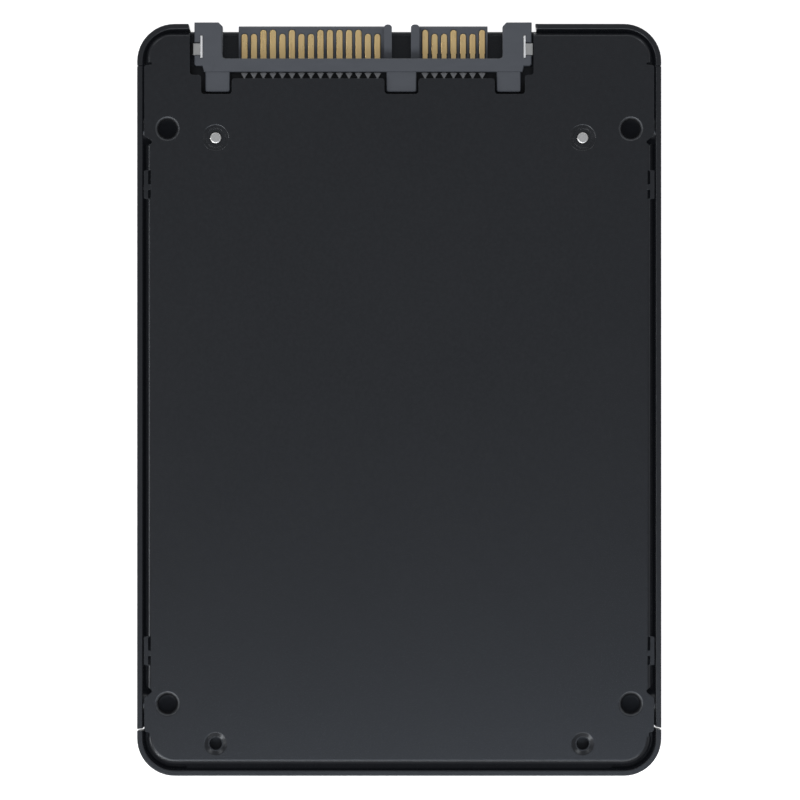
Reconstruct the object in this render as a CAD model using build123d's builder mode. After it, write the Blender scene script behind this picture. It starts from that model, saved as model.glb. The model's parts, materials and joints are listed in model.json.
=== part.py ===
"""Solid state drive, 2.5 inch wide and 7 mm thick, as an assembly of its separate pieces.

Frame: +X across the drive, +Y towards the plug end, +Z out of the cover that has the
mounting holes. The drive lies on its label face at z = 0. Lengths are in millimetres.
"""
import os
from math import cos, radians, sin, tan

from build123d import *

os.makedirs("parts", exist_ok=True)

# allowances: how far a cut runs past a face, how far joined blocks overlap, and how
# closely an edge has to lie to a position to be picked
overshoot = 1.0
overlap = 0.1
near_enough = 0.01

# ---------------------------------------------------------------- overall case
case_width = 69.85
case_length = 100.2
plug_end_y = 50.0
far_end_y = plug_end_y - case_length
case_middle_y = (plug_end_y + far_end_y) / 2
cover_face_z = 7.0
rim_z = 6.9
shell_sheet = 0.75
rim_edge_radius = 0.15
corner_radius = 5.0
label_edge_radius = 1.0
floor_inner_radius = 0.3
wall_inner_x = case_width / 2 - shell_sheet

# label face
label_width = 60.0
label_length = 86.0
label_thickness = 0.12
label_corner_radius = 2.0
recess_depth = 0.15
recess_margin = 0.3

# plug opening of the shell, and the low sill under it
opening_left_x = -28.1
opening_right_x = 18.15
opening_slant = 0.2
sill_setback = 0.85
sill_thickness = 0.55
sill_height = 1.4
sill_radius = 0.4

# bend reliefs of the shell, measured from each end; the far ones are slightly slanted
plug_relief_depth = 0.78
plug_relief_from_end = 5.6
plug_relief_width = 0.14
plug_relief_bottom_z = 1.2
far_relief_depth = 0.93
far_relief_width = 0.26
left_far_relief_from_end = 6.1
left_far_relief_slant = 6.0
right_far_relief_from_end = 6.25
right_far_relief_slant = -12.0

# mounting screw threads, M3
hole_one_from_plug_end = 14.0
hole_spacing_y = 76.6
cover_hole_spacing_x = 61.72
thread_radius = 1.3
thread_boss_radius = 2.0
cover_thread_length = 1.8
side_thread_length = 2.0
side_hole_z = 4.0
thread_entry_radius = 0.4
side_entry_chamfer = 0.25

# ---------------------------------------------------------------- cover
cover_sheet = 0.5
cover_half_width = 33.63
cover_plug_edge_from_end = 1.25
cover_far_gap = 0.65
far_cover_corner_radius = 3.75
plug_cover_corner_radius = 3.2
flange_bottom_z = 4.4
side_bend_radius = 0.62
end_bend_radius = 0.8
bend_inner_radius = 0.2
wing_half_width = 33.95
wing_corner_radius = 0.3
wing_plate_width = 1.0
notch_inner_x = 32.95
far_notch_inner_x = 32.8
far_notch_visible_x = 33.25
notch_tip_width = 0.26
plug_wing_from = 5.5
plug_corner_notch = 5.3
plug_flange_to = 5.1
plug_wing_to = 15.1
side_notch_near = 15.75
side_flange_from = 16.4
side_flange_to = 88.2
side_notch_far = 88.9
far_wing_from = 89.6
far_wing_to = 94.3
far_corner_notch = 94.75
far_flange_from = 95.0

# sloped lip outside the far flange; it leaves the bend where the bend has turned this far
far_lip_half_width = 28.3
far_lip_bend_angle = radians(50)
far_lip_slope = radians(46)
far_lip_clearance = 0.12
far_lip_bottom_z = 5.2

# snap tabs of the cover's side flanges
tab_starts = (19.5, 81.6)
tab_length = 3.85
tab_outer_x = 34.0
tab_slot_inner_x = 33.08
tab_slot_width = 0.37
tab_bridge_length = 0.7
tab_bridge_overlap = 0.2
tab_bridge_from_start = 1.9
tab_lead = 0.1
tab_bead_reach = 34.35
tab_bead_z = 5.0
tab_bead_half_height = 0.5
tab_bead_inset = 0.8
tab_top_drop = 0.04
pocket_depth = 0.35
pocket_half_height = 0.8
pocket_margin = 0.3

# dimples that take the board screws
dimple_x = 24.45
dimple_from_ends = (15.2, 95.9)
dimple_radii = (1.75, 1.5)
dimple_wall_width = 0.52
dimple_depths = (0.42, 0.2)
dimple_rim_radius = 0.3
dimple_back_radius = 2.1
dimple_tube_radius = 1.3
screw_hole_radius = 0.84

# cut-out of the cover around the plug, measured from the plug end
cutout_left_x = -27.9
cutout_right_x = 17.9
cutout_shoulder = 6.8
cutout_edge = 7.27
cutout_edge_left_x = -25.0
cutout_edge_right_x = 14.0
cutout_corner_radius = 0.4
foot_gap_inner = 0.27
foot_gap_outer = 0.55
foot_gap_end = 0.25

# ---------------------------------------------------------------- board
board_bottom_z = 2.9
board_thickness = 0.8
board_top_z = board_bottom_z + board_thickness
board_half_width = 29.2
board_plug_edge = 5.6
board_far_edge = 46.0
board_corner_radius = 1.2
board_screw_clearance_radius = 0.95
peg_radius = 0.5
peg_hole_radius = 0.56
peg_from_foot_back = 1.2

# ---------------------------------------------------------------- plug
plug_body_left_x = -26.22
plug_body_right_x = 16.66
plug_body_front = 4.61
plug_body_back = 6.4
plug_lip_back = 5.5
plug_bottom_z = 1.5
plug_top_z = 6.6
plug_edge_chamfer = 0.12
foot_edge_chamfer = 0.1
ear_tip = -0.2
ear_back = 5.6
ear_back_chamfer = 0.22
left_ear_outer_x = -27.29
left_ear_inner_x = -23.56
right_ear_inner_x = 13.8
right_ear_outer_x = 17.66
ear_tip_chamfer = 0.5
ear_root_radius = 0.45
foot_back = 9.1
foot_top_z = 6.4
feet = ((-25.83, -22.57), (-1.69, 2.30), (13.0, 16.2))
foot_corner_radius = 0.3

tongue_top_z = 3.5
tongue_thickness = 1.23
tongue_tip = 0.2
tongue_tip_chamfer = 0.25
root_overlap = 0.5
key_height = 1.2
key_tip_radius = 0.45
power_left_x = -21.44
power_right_x = -0.98
power_key_left_x = -2.02
signal_left_x = 1.57
signal_right_x = 11.81
signal_key_right_x = 2.70

contact_pitch = 1.27
first_power_x = -20.675
first_signal_x = 3.455
power_tips = "SSLLSLSSLLLLLSS"
signal_tips = "LSSLSSL"
contact_width = 0.86
contact_tip_radius = 0.12
power_neck_width = 0.82
signal_neck_width = 0.66
neck_from = 3.85
contact_thickness = 0.22
contact_lift = 0.02
long_contact_tip = 0.66
short_contact_tip = 1.2
contact_rise = 5.05
tail_end = 7.22
riser_width = 0.6
tail_root_width = 0.6
tail_wide = 0.98
tail_narrow = 0.26
tail_wide_from = 6.44
tail_taper_to = 7.05
contact_clearance = 0.04
contact_side_clearance = 0.05

# board locks: a strip on edge in a slot of each ear, with a tab folded outwards
lock_strip_thickness = 0.28
lock_strip_from = 1.55
lock_strip_to = 4.5
lock_tab_from = 2.6
lock_tab_to = 4.15
lock_tab_flat_reach = 0.14
lock_tab_fold_inset = 0.12
lock_tab_reach = 0.68
lock_tab_drop = 1.0
lock_bottom_z = 2.2
lock_top_z = 6.55
lock_tab_z = 6.22
lock_tab_thickness = 0.22
lock_channel_margin = 0.22
lock_slot_clearance = 0.05
left_lock_x = -26.34
right_lock_x = 16.72

# faint round mark of a mould pin on the left ear
pin_mark_x = -25.9
pin_mark_from_end = 5.3
pin_mark_radius = 1.3
pin_mark_depth = 0.03

# ---------------------------------------------------------------- board parts
board_screw_radius = 0.78
board_screw_tip_z = 6.85
board_screw_tip_radius = 0.2
board_screw_head_radius = 1.5
board_screw_head_height = 0.8
cross_recess_length = 1.7
cross_recess_width = 0.4
cross_recess_depth = 0.4

chip_height = 1.2
chip_edge_chamfer = 0.15
controller_size = 14.0
controller_from_end = 21.5
flash_width = 18.0
flash_length = 14.0
flash_x = 13.0
flash_from_end = 36.5
pad_inset = 1.0
memory_width = 9.0
memory_length = 11.5
memory_x = -14.0
memory_from_end = 22.0
memory_height = 1.0
power_chip_size = 4.0
power_chip_x = 14.5
power_chip_from_end = 13.0
power_chip_height = 0.85
load_switch_size = 3.0
load_switch_x = -14.5
load_switch_from_end = 12.0
load_switch_height = 0.9
crystal_width = 3.2
crystal_length = 2.5
crystal_height = 0.8
crystal_corner_radius = 0.3
crystal_x = 10.5
crystal_from_end = 20.0
inductor_size = 3.0
inductor_height = 1.3
inductor_corner_radius = 0.4
inductor_count = 3
inductor_x = 19.0
inductor_from_end = 12.6
inductor_pitch = 3.9
tantalum_width = 3.5
tantalum_length = 2.8
tantalum_height = 1.9
tantalum_x = 25.5
tantalum_from_end = 23.5
tantalum_pitch = 4.4
tantalum_row_count = 2
ceramic_width = 1.0
ceramic_length = 0.5
ceramic_height = 0.5
ceramic_pitch = 2.0
ceramic_row_count = 7
upper_ceramics_from_end = 12.4
lower_ceramics_from_end = 11.2
ceramic_column_x = 25.0
ceramic_column_from_end = 31.0
ceramic_column_count = 6
small_part_pitch = 2.2
resistor_width = 0.6
resistor_length = 0.3
resistor_height = 0.25
resistor_x = 8.2
resistors_from_end = 15.0
resistor_count = 6


def from_end(distance):
    """Y position at a distance from the plug end of the case."""
    return plug_end_y - distance


def block(x_low, x_high, near, far, z_low, z_high, mode=Mode.ADD):
    """A box between two x, two distances from the plug end and two heights."""
    centre = ((x_low + x_high) / 2, (from_end(near) + from_end(far)) / 2, (z_low + z_high) / 2)
    with Locations(centre):
        Box(x_high - x_low, abs(far - near), z_high - z_low, mode=mode)


def post(x, distance, radius, z_low, z_high, mode=Mode.ADD):
    """An upright cylinder at a distance from the plug end."""
    with Locations((x, from_end(distance), (z_low + z_high) / 2)):
        Cylinder(radius, z_high - z_low, mode=mode)


def chip(x, distance, width, length, z_low, z_high):
    """A flat package lying on the board."""
    block(x - width / 2, x + width / 2, distance - length / 2, distance + length / 2, z_low, z_high)


def at_height(shapes, height):
    """The edges or faces that lie at one height."""
    return shapes.filter_by_position(Axis.Z, height - near_enough, height + near_enough)


def circles_of(builder, radius, height):
    """The circular edges of one radius at one height."""
    circles = at_height(builder.edges(), height).filter_by(GeomType.CIRCLE)
    return circles.filter_by(lambda edge: abs(edge.radius - radius) < near_enough)


hole_rows = (hole_one_from_plug_end, hole_one_from_plug_end + hole_spacing_y)
sides = (-1, 1)

# ================================================================ top shell
with BuildPart() as top_shell:
    with BuildSketch(Plane.XY):
        with Locations((0, case_middle_y)):
            RectangleRounded(case_width, case_length, corner_radius)
    extrude(amount=rim_z)
    fillet(top_shell.faces().sort_by(Axis.Z)[0].edges(), radius=label_edge_radius)
    with BuildSketch(Plane.XY.offset(shell_sheet)):
        with Locations((0, case_middle_y)):
            RectangleRounded(
                case_width - 2 * shell_sheet, case_length - 2 * shell_sheet, corner_radius - shell_sheet
            )
    extrude(amount=rim_z, mode=Mode.SUBTRACT)
    floor_face = at_height(top_shell.faces(), shell_sheet)
    fillet(floor_face.edges(), radius=floor_inner_radius)
    # recess for the label
    with BuildSketch(Plane.XY):
        with Locations((0, case_middle_y)):
            RectangleRounded(
                label_width + recess_margin, label_length + recess_margin, label_corner_radius
            )
    extrude(amount=recess_depth, mode=Mode.SUBTRACT)
    # opening for the plug, with slanted wall ends
    with BuildSketch(Plane.XY):
        with BuildLine():
            Polyline(
                (opening_left_x - opening_slant, plug_end_y + overshoot),
                (opening_right_x - opening_slant, plug_end_y + overshoot),
                (opening_right_x + opening_slant, from_end(sill_setback)),
                (opening_left_x + opening_slant, from_end(sill_setback)),
                close=True,
            )
        make_face()
    extrude(amount=rim_z, mode=Mode.SUBTRACT)
    fillet(at_height(top_shell.edges(), rim_z), radius=rim_edge_radius)
    # low sill set back under the plug
    sill_back = sill_setback + sill_thickness
    block(opening_left_x, opening_right_x, sill_setback, sill_back, recess_depth, sill_height)
    sill_edges = at_height(top_shell.edges().filter_by(Axis.X), sill_height)
    fillet(sill_edges.sort_by(Axis.Y)[-1], radius=sill_radius)
    # bend reliefs in both side walls
    far_reliefs = (
        (-1, left_far_relief_from_end, left_far_relief_slant),
        (1, right_far_relief_from_end, right_far_relief_slant),
    )
    for side, from_far_end, slant in far_reliefs:
        relief_x = side * (case_width / 2 - plug_relief_depth + overshoot)
        relief_height = rim_z + overshoot - plug_relief_bottom_z
        relief_z = plug_relief_bottom_z + relief_height / 2
        with Locations((relief_x, from_end(plug_relief_from_end), relief_z)):
            Box(2 * overshoot, plug_relief_width, relief_height, mode=Mode.SUBTRACT)
        relief_x = side * (case_width / 2 - far_relief_depth + overshoot)
        with Locations(Location((relief_x, far_end_y + from_far_end, rim_z / 2), (0, 0, slant))):
            Box(2 * overshoot, far_relief_width, 2 * rim_z, mode=Mode.SUBTRACT)
    # pockets for the snap tabs of the cover
    for side in sides:
        for start in tab_starts:
            reach = (side * (wall_inner_x - overlap), side * (wall_inner_x + pocket_depth))
            block(
                min(reach), max(reach), start - pocket_margin, start + tab_length + pocket_margin,
                tab_bead_z - pocket_half_height, tab_bead_z + pocket_half_height, mode=Mode.SUBTRACT,
            )
    # threaded bosses of the side mounting holes
    boss_inner_x = case_width / 2 - side_thread_length
    boss_length = side_thread_length - shell_sheet / 2
    for side in sides:
        for row in hole_rows:
            boss_x = side * (boss_inner_x + boss_length / 2)
            with Locations(Location((boss_x, from_end(row), side_hole_z), (0, 90, 0))):
                Cylinder(thread_boss_radius, boss_length)
            bore_x = side * (boss_inner_x + side_thread_length / 2)
            with Locations(Location((bore_x, from_end(row), side_hole_z), (0, 90, 0))):
                Cylinder(thread_radius, side_thread_length + overshoot, mode=Mode.SUBTRACT)
    mouths = top_shell.edges().filter_by(GeomType.CIRCLE).filter_by(
        lambda edge: abs(edge.radius - thread_radius) < near_enough
        and abs(abs(edge.center().X) - case_width / 2) < near_enough
    )
    chamfer(mouths, length=side_entry_chamfer)
top_shell.part.label = "top_shell"
export_step(top_shell.part, "parts/top_shell.step")

# ================================================================ bottom cover
cover_plug_y = from_end(cover_plug_edge_from_end)
cover_far_y = far_end_y + shell_sheet + cover_far_gap
cover_length = cover_plug_y - cover_far_y
cover_middle_y = (cover_plug_y + cover_far_y) / 2
cover_under_z = cover_face_z - cover_sheet

with BuildPart() as bottom_cover:
    with BuildSketch(Plane.XY.offset(flange_bottom_z)) as outside:
        with Locations((0, cover_middle_y)):
            Rectangle(2 * cover_half_width, cover_length)
        fillet(outside.vertices().sort_by(Axis.Y)[:2], radius=far_cover_corner_radius)
        fillet(outside.vertices().sort_by(Axis.Y)[-2:], radius=plug_cover_corner_radius)
    extrude(amount=cover_face_z - flange_bottom_z)
    with BuildSketch(Plane.XY.offset(flange_bottom_z)) as inside:
        with Locations((0, cover_middle_y)):
            Rectangle(2 * (cover_half_width - cover_sheet), cover_length - 2 * cover_sheet)
        fillet(inside.vertices().sort_by(Axis.Y)[:2], radius=far_cover_corner_radius - cover_sheet)
        fillet(inside.vertices().sort_by(Axis.Y)[-2:], radius=plug_cover_corner_radius - cover_sheet)
    extrude(amount=cover_under_z - flange_bottom_z, mode=Mode.SUBTRACT)
    fillet(at_height(bottom_cover.edges(), cover_under_z), radius=bend_inner_radius)
    # pointed relief notches cut the flange into runs
    for side in sides:
        notches = (
            (plug_flange_to, plug_corner_notch, plug_wing_from, notch_inner_x),
            (plug_wing_to, side_notch_near, side_flange_from, notch_inner_x),
            (side_flange_to, side_notch_far, far_wing_from, notch_inner_x),
            (far_wing_to, far_corner_notch, far_flange_from, far_notch_inner_x),
        )
        for near, tip, far, inner_x in notches:
            with BuildSketch(Plane.XY):
                with BuildLine():
                    Polyline(
                        (side * inner_x, from_end(tip - notch_tip_width / 2)),
                        (side * inner_x, from_end(tip + notch_tip_width / 2)),
                        (side * cover_half_width, from_end(far)),
                        (side * (wing_half_width + overshoot), from_end(far)),
                        (side * (wing_half_width + overshoot), from_end(near)),
                        (side * cover_half_width, from_end(near)),
                        close=True,
                    )
                make_face()
            extrude(amount=cover_face_z + overshoot, mode=Mode.SUBTRACT)
    # the wings beside the mounting holes are flat: no flange from notch to notch
    for side in sides:
        across = (side * (cover_half_width - cover_sheet - bend_inner_radius), side * wing_half_width)
        for near, far in ((plug_wing_from, side_notch_near), (side_notch_far, far_wing_to)):
            block(min(across), max(across), near, far, 0, cover_under_z, mode=Mode.SUBTRACT)
        for near, far in ((plug_wing_from, plug_wing_to), (far_wing_from, far_wing_to)):
            middle_y = from_end((near + far) / 2)
            with BuildSketch(Plane.XY.offset(cover_under_z)):
                with Locations((side * (wing_half_width - wing_plate_width / 2), middle_y)):
                    RectangleRounded(wing_plate_width, far - near, wing_corner_radius)
            extrude(amount=cover_sheet)
    # outer bend of every flange run
    side_runs = at_height(bottom_cover.edges(), cover_face_z).filter_by(
        lambda edge: abs(abs(edge.center().X) - cover_half_width) < near_enough
        and from_end(side_flange_to) < edge.center().Y < from_end(side_flange_from)
    )
    fillet(side_runs, radius=side_bend_radius)
    far_run = at_height(bottom_cover.edges(), cover_face_z).filter_by(
        lambda edge: edge.center().Y < from_end(far_flange_from) - near_enough
    )
    fillet(far_run, radius=end_bend_radius)
    plug_run = at_height(bottom_cover.edges(), cover_face_z).filter_by(
        lambda edge: edge.center().Y > cover_plug_y - far_cover_corner_radius
    )
    fillet(plug_run, radius=side_bend_radius)
    # flat sheet closes the inner end of the far corner notches
    for side in sides:
        across = (side * (far_notch_inner_x - overlap), side * far_notch_visible_x)
        block(
            min(across), max(across), far_wing_to - overlap, far_flange_from,
            cover_under_z, cover_face_z,
        )
    # sloped lip along the straight part of the far flange
    lip_top_y = cover_far_y + end_bend_radius - end_bend_radius * sin(far_lip_bend_angle)
    lip_top_z = cover_face_z - end_bend_radius * (1 - cos(far_lip_bend_angle))
    lip_outer_y = far_end_y + shell_sheet + far_lip_clearance
    lip_fall = (lip_top_y - lip_outer_y) * tan(far_lip_slope)
    with BuildSketch(Plane.YZ.offset(-far_lip_half_width)):
        with BuildLine():
            Polyline(
                (lip_top_y, lip_top_z),
                (lip_outer_y, lip_top_z - lip_fall),
                (lip_outer_y, far_lip_bottom_z),
                (lip_top_y, far_lip_bottom_z),
                close=True,
            )
        make_face()
    extrude(amount=2 * far_lip_half_width)
    # snap tabs: a pierced slot, and a strip outside it pushed outwards with a bead
    for side in sides:
        for start in tab_starts:
            end = start + tab_length
            across = (side * tab_slot_inner_x, side * (cover_half_width + overshoot))
            block(min(across), max(across), start, end, 0, cover_face_z + overshoot, mode=Mode.SUBTRACT)
            strip_inner_x = tab_slot_inner_x + tab_slot_width
            with BuildSketch(Plane.XY.offset(flange_bottom_z)):
                with BuildLine():
                    Polyline(
                        (side * (cover_half_width - cover_sheet), from_end(start)),
                        (side * cover_half_width, from_end(start)),
                        (side * tab_outer_x, from_end(start + tab_lead)),
                        (side * tab_outer_x, from_end(end - tab_lead)),
                        (side * cover_half_width, from_end(end)),
                        (side * (cover_half_width - cover_sheet), from_end(end)),
                        (side * strip_inner_x, from_end(end - tab_lead)),
                        (side * strip_inner_x, from_end(start + tab_lead)),
                        close=True,
                    )
                make_face()
            extrude(amount=cover_face_z - tab_top_drop - flange_bottom_z)
            bridge_from = start + tab_bridge_from_start
            bridge_inner_x = tab_slot_inner_x - tab_bridge_overlap
            bridge_outer_x = strip_inner_x + tab_bridge_overlap
            across = (side * bridge_inner_x, side * bridge_outer_x)
            block(
                min(across), max(across), bridge_from, bridge_from + tab_bridge_length,
                cover_under_z, cover_face_z - tab_top_drop,
            )
            bead_from = start + tab_bead_inset
            with BuildSketch(Plane.XZ.offset(-from_end(bead_from))):
                with BuildLine():
                    Polyline(
                        (side * (tab_outer_x - overlap), tab_bead_z + tab_bead_half_height),
                        (side * tab_outer_x, tab_bead_z + tab_bead_half_height),
                        (side * tab_bead_reach, tab_bead_z + tab_bead_half_height / 3),
                        (side * tab_bead_reach, tab_bead_z - tab_bead_half_height / 3),
                        (side * tab_outer_x, tab_bead_z - tab_bead_half_height),
                        (side * (tab_outer_x - overlap), tab_bead_z - tab_bead_half_height),
                        close=True,
                    )
                make_face()
            extrude(amount=tab_length - 2 * tab_bead_inset)
    # cut-out around the plug
    inner_gaps = (foot_gap_outer, foot_gap_inner, foot_gap_inner)
    outer_gaps = (foot_gap_inner, foot_gap_inner, foot_gap_outer)
    with BuildSketch(Plane.XY.offset(cover_face_z + overshoot)) as cutout:
        with Locations(((cutout_left_x + cutout_right_x) / 2, from_end(cutout_shoulder / 2 - overshoot))):
            Rectangle(cutout_right_x - cutout_left_x, cutout_shoulder + 2 * overshoot)
        with Locations(((cutout_edge_left_x + cutout_edge_right_x) / 2, from_end(cutout_edge / 2))):
            Rectangle(cutout_edge_right_x - cutout_edge_left_x, cutout_edge)
        for (foot_left, foot_right), left_gap, right_gap in zip(feet, inner_gaps, outer_gaps):
            pocket_left = foot_left - left_gap
            pocket_right = foot_right + right_gap
            pocket_back = foot_back + foot_gap_end
            with Locations(((pocket_left + pocket_right) / 2, from_end(pocket_back / 2))):
                Rectangle(pocket_right - pocket_left, pocket_back)
        inside_corners = cutout.vertices().filter_by(
            lambda corner: corner.Y < from_end(cutout_shoulder) + near_enough
        )
        fillet(inside_corners, radius=cutout_corner_radius)
    extrude(amount=-(cover_face_z + 2 * overshoot), mode=Mode.SUBTRACT)
    # threaded mounting holes, drawn inwards, with a rounded entry
    for side in sides:
        for row in hole_rows:
            x = side * cover_hole_spacing_x / 2
            post(x, row, thread_boss_radius, cover_face_z - cover_thread_length, cover_under_z + overlap)
            post(x, row, thread_radius, flange_bottom_z, cover_face_z + overshoot, mode=Mode.SUBTRACT)
    fillet(circles_of(bottom_cover, thread_radius, cover_face_z), radius=thread_entry_radius)
    # dimples for the board screws
    for side in sides:
        for row, dimple_radius, dimple_depth in zip(dimple_from_ends, dimple_radii, dimple_depths):
            x = side * dimple_x
            dimple_floor_z = cover_face_z - dimple_depth
            dimple_back_z = cover_under_z - dimple_depth
            post(x, row, dimple_back_radius, dimple_back_z, cover_under_z + overlap)
            post(x, row, dimple_tube_radius, board_top_z, dimple_back_z + overlap)
            with Locations((x, from_end(row), cover_face_z - dimple_depth / 2)):
                Cone(dimple_radius - dimple_wall_width, dimple_radius, dimple_depth, mode=Mode.SUBTRACT)
            post(x, row, screw_hole_radius, 0, cover_face_z, mode=Mode.SUBTRACT)
    for dimple_radius in dimple_radii:
        fillet(circles_of(bottom_cover, dimple_radius, cover_face_z), radius=dimple_rim_radius)
bottom_cover.part.label = "bottom_cover"
export_step(bottom_cover.part, "parts/bottom_cover.step")

# ================================================================ blank label
with BuildPart() as blank_label:
    with BuildSketch(Plane.XY.offset(recess_depth - label_thickness)):
        with Locations((0, case_middle_y)):
            RectangleRounded(label_width, label_length, label_corner_radius)
    extrude(amount=label_thickness)
blank_label.part.label = "blank_label"
export_step(blank_label.part, "parts/blank_label.step")

# ================================================================ circuit board
board_length = board_far_edge - board_plug_edge
with BuildPart() as circuit_board:
    with BuildSketch(Plane.XY.offset(board_bottom_z)):
        with Locations((0, from_end(board_plug_edge + board_length / 2))):
            RectangleRounded(2 * board_half_width, board_length, board_corner_radius)
    extrude(amount=board_thickness)
    for side in sides:
        post(
            side * dimple_x, dimple_from_ends[0], board_screw_clearance_radius,
            0, cover_face_z, mode=Mode.SUBTRACT,
        )
    for foot_left, foot_right in feet:
        peg_x = (foot_left + foot_right) / 2
        post(peg_x, foot_back - peg_from_foot_back, peg_hole_radius, 0, cover_face_z, mode=Mode.SUBTRACT)
circuit_board.part.label = "circuit_board"
export_step(circuit_board.part, "parts/circuit_board.step")

# ================================================================ plug housing
power_contacts_x = [first_power_x + contact_pitch * place for place in range(len(power_tips))]
signal_contacts_x = [first_signal_x + contact_pitch * place for place in range(len(signal_tips))]
tip_distances = {"L": long_contact_tip, "S": short_contact_tip}
tongue_bottom_z = tongue_top_z - tongue_thickness
contact_top_z = tongue_top_z + contact_lift
contact_bottom_z = contact_top_z - contact_thickness
tail_bottom_z = board_top_z + contact_lift
tail_top_z = tail_bottom_z + contact_thickness
groove_half_width = contact_width / 2 + contact_side_clearance


def tongue(x_low, x_high):
    """A contact tongue with a chamfered tip."""
    with BuildSketch(Plane.YZ.offset(x_low)) as profile:
        tip_y = from_end(tongue_tip)
        with BuildLine():
            Polyline(
                (from_end(plug_body_front + root_overlap), tongue_bottom_z),
                (tip_y - tongue_tip_chamfer, tongue_bottom_z),
                (tip_y, tongue_bottom_z + tongue_tip_chamfer),
                (tip_y, tongue_top_z - tongue_tip_chamfer),
                (tip_y - tongue_tip_chamfer, tongue_top_z),
                (from_end(plug_body_front + root_overlap), tongue_top_z),
                close=True,
            )
        make_face()
    extrude(profile.sketch, amount=x_high - x_low)


def key(x_low, x_high):
    """The upright leg of a tongue, with a rounded tip."""
    with BuildSketch(Plane.XY.offset(tongue_bottom_z)) as profile:
        leg_length = plug_body_front + root_overlap
        with Locations(((x_low + x_high) / 2, from_end(leg_length / 2))):
            RectangleRounded(x_high - x_low, leg_length, key_tip_radius)
    extrude(profile.sketch, amount=tongue_thickness + key_height)


with BuildPart() as plug_housing:
    # body and guide ears in one outline
    ear_chamfer_y = from_end(ear_tip + ear_tip_chamfer)
    ear_back_y = from_end(ear_back)
    body_front_y = from_end(plug_body_front)
    body_back_y = from_end(plug_body_back)
    with BuildSketch(Plane.XY.offset(plug_bottom_z)) as outline:
        with BuildLine():
            Polyline(
                (left_ear_outer_x, from_end(ear_tip)),
                (left_ear_inner_x - ear_tip_chamfer, from_end(ear_tip)),
                (left_ear_inner_x, ear_chamfer_y),
                (left_ear_inner_x, body_front_y),
                (right_ear_inner_x, body_front_y),
                (right_ear_inner_x, ear_chamfer_y),
                (right_ear_inner_x + ear_tip_chamfer, from_end(ear_tip)),
                (right_ear_outer_x, from_end(ear_tip)),
                (right_ear_outer_x, ear_back_y + ear_back_chamfer),
                (right_ear_outer_x - ear_back_chamfer, ear_back_y),
                (plug_body_right_x, ear_back_y),
                (plug_body_right_x - ear_back_chamfer, body_back_y),
                (plug_body_left_x + ear_back_chamfer, body_back_y),
                (plug_body_left_x, ear_back_y),
                (left_ear_outer_x + ear_back_chamfer, ear_back_y),
                (left_ear_outer_x, ear_back_y + ear_back_chamfer),
                close=True,
            )
        make_face()
        roots = outline.vertices().filter_by(
            lambda corner: abs(corner.Y - body_front_y) < near_enough
        )
        fillet(roots, radius=ear_root_radius)
    extrude(amount=plug_top_z - plug_bottom_z)
    chamfer(plug_housing.faces().sort_by(Axis.Z)[-1].edges(), length=plug_edge_chamfer)
    # step that sits over the board's edge
    block(
        left_ear_outer_x - overshoot, right_ear_outer_x + overshoot, plug_lip_back, foot_back,
        plug_bottom_z - overshoot, board_top_z, mode=Mode.SUBTRACT,
    )
    # feet over the board, each with a locating peg
    for foot_left, foot_right in feet:
        peg_x = (foot_left + foot_right) / 2
        foot_width = foot_right - foot_left
        foot_length = foot_back - plug_body_back + root_overlap
        with BuildSketch(Plane.XY.offset(board_top_z)):
            with Locations((peg_x, from_end(foot_back - foot_length / 2))):
                RectangleRounded(foot_width, foot_length, foot_corner_radius)
        extrude(amount=foot_top_z - board_top_z)
        foot_edges = at_height(plug_housing.edges(), foot_top_z).filter_by(
            lambda edge: edge.center().Y < body_back_y - near_enough
            and foot_left - near_enough < edge.center().X < foot_right + near_enough
        )
        chamfer(foot_edges, length=foot_edge_chamfer)
        peg_row = foot_back - peg_from_foot_back
        post(peg_x, peg_row, peg_radius, board_bottom_z - overlap, board_top_z + overlap)
    tongue(power_left_x, power_right_x)
    tongue(signal_left_x, signal_right_x)
    key(power_key_left_x, power_right_x)
    key(signal_left_x, signal_key_right_x)
    # grooves and passages for the contacts
    for x, reach in zip(power_contacts_x + signal_contacts_x, power_tips + signal_tips):
        groove_bottom_z = contact_bottom_z - contact_clearance
        round_end = tip_distances[reach] + contact_width / 2
        post(
            x, round_end, groove_half_width, groove_bottom_z, tongue_top_z + contact_clearance,
            mode=Mode.SUBTRACT,
        )
        block(
            x - groove_half_width, x + groove_half_width, round_end, plug_lip_back + contact_clearance,
            groove_bottom_z, tongue_top_z + contact_clearance, mode=Mode.SUBTRACT,
        )
        block(
            x - groove_half_width, x + groove_half_width, contact_rise - overlap, foot_back,
            groove_bottom_z, tail_top_z + contact_clearance, mode=Mode.SUBTRACT,
        )
    # slots for the board locks
    for lock_x in (left_lock_x, right_lock_x):
        slot_half = lock_strip_thickness / 2 + lock_slot_clearance
        block(
            lock_x - slot_half, lock_x + slot_half,
            lock_strip_from - lock_slot_clearance, lock_strip_to + lock_slot_clearance,
            lock_bottom_z - lock_slot_clearance, plug_top_z + overshoot, mode=Mode.SUBTRACT,
        )
    for channel_left_x, channel_right_x in (
        (left_ear_outer_x - overshoot, left_lock_x), (right_lock_x, right_ear_outer_x + overshoot)
    ):
        block(
            channel_left_x, channel_right_x,
            lock_tab_from - lock_channel_margin, lock_tab_to + lock_slot_clearance,
            lock_tab_z, plug_top_z + overshoot, mode=Mode.SUBTRACT,
        )
    post(
        pin_mark_x, pin_mark_from_end, pin_mark_radius, plug_top_z - pin_mark_depth,
        plug_top_z + overshoot, mode=Mode.SUBTRACT,
    )
plug_housing.part.label = "plug_housing"
export_step(plug_housing.part, "parts/plug_housing.step")


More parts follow.
